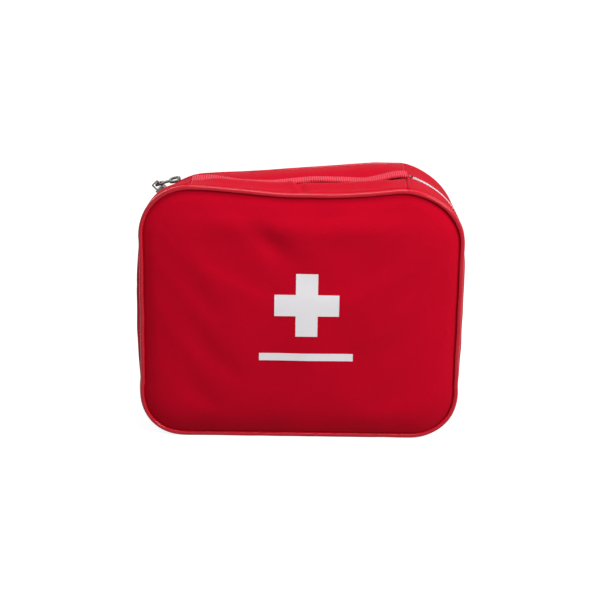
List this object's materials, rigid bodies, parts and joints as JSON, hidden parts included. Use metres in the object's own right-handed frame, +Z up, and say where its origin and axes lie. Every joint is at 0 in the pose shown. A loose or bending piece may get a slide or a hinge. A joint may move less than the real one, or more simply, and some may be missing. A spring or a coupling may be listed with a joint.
{
  "type": "first aid kit",
  "caption": "Soft red zipped first aid bag, standing, with rounded corners, piping, a webbing handle, a printed white cross, a metal zip pull and its supplies inside.",
  "frame": {"origin": "on the floor under the middle of the standing bag", "axes": "+X to the right along the width, +Y to the back, +Z up; the printed front faces -Y"},
  "size_m": [0.25, 0.0924, 0.2103],
  "materials": {
    "bag_fabric": "coated woven polyester, slight sheen",
    "piping": "glossy soft vinyl piping",
    "zip_tape": "white knitted zip tape",
    "zip_coil": "white nylon coil",
    "zip_metal": "worn dark nickel plate",
    "binding": "narrow woven binding tape",
    "webbing": "ribbed woven webbing",
    "white_print": "matt white screen print",
    "pocket_mesh": "open white mesh",
    "elastic": "ribbed elastic",
    "card": "plain folded card",
    "lining": "thin smooth lining",
    "crepe": "cream crepe bandage",
    "carton": "plain white carton",
    "gauze": "white open gauze",
    "tape": "white cloth tape",
    "packet_paper": "sealed paper packet",
    "tweezers_steel": "brushed stainless steel",
    "foil_film": "bright metallised film"
  },
  "bodies": {
    "back_shell": {"back_panel": "bag_fabric", "back_piping": "piping", "back_gusset": "bag_fabric", "back_zip_hem": "bag_fabric", "back_zip_tape": "zip_tape", "back_zip_coil": "zip_coil", "back_zip_stops": "zip_metal", "back_binding": "binding", "top_panel": "bag_fabric", "end_seam_left": "bag_fabric", "end_seam_right": "bag_fabric", "handle_end_left": "webbing", "handle_end_right": "webbing", "handle_run_left": "webbing", "handle_run_right": "webbing", "organiser_sheet": "lining", "lower_elastic": "elastic", "upper_elastic": "elastic", "wide_bandage_roll": "crepe", "narrow_bandage_roll": "crepe", "plaster_carton": "carton", "gauze_roll": "gauze", "tape_rolls": "tape", "gauze_packets": "packet_paper", "tweezers": "tweezers_steel", "foil_blanket": "foil_film", "wipe_packets": "packet_paper"},
    "front_shell": {"front_panel": "bag_fabric", "front_piping": "piping", "front_gusset": "bag_fabric", "front_zip_hem": "bag_fabric", "front_zip_tape": "zip_tape", "front_zip_coil": "zip_coil", "front_zip_stops": "zip_metal", "front_binding": "binding", "cross_print": "white_print", "bar_print": "white_print", "mesh_pocket": "pocket_mesh", "pocket_elastic": "elastic", "leaflet": "card"},
    "slider": {"zip_slider": "zip_metal"},
    "tab": {"pull_tab": "zip_metal"},
    "handle": {"handle_grip": "webbing"}
  },
  "joints": [
    {"name": "front_open", "type": "hinge", "parent": "back_shell", "child": "front_shell", "pos_m": [0, -0.044, 0.2018], "axis": [-1, 0, 0], "range_deg": [0, 110]},
    {"name": "slider_run", "type": "hinge", "parent": "back_shell", "child": "slider", "pos_m": [-0.081, 0, 0.16], "axis": [0, -1, 0], "range_deg": [0, 45]},
    {"name": "tab_flip", "type": "hinge", "parent": "slider", "child": "tab", "pos_m": [-0.1148, 0, 0.1938], "axis": [0, -1, 0], "range_deg": [0, 200]},
    {"name": "handle_lift", "type": "slide", "parent": "back_shell", "child": "handle", "axis": [0, 0, 1], "range_m": [0, 0.028], "deforming": ["handle_run_left", "handle_run_right"]}
  ]
}
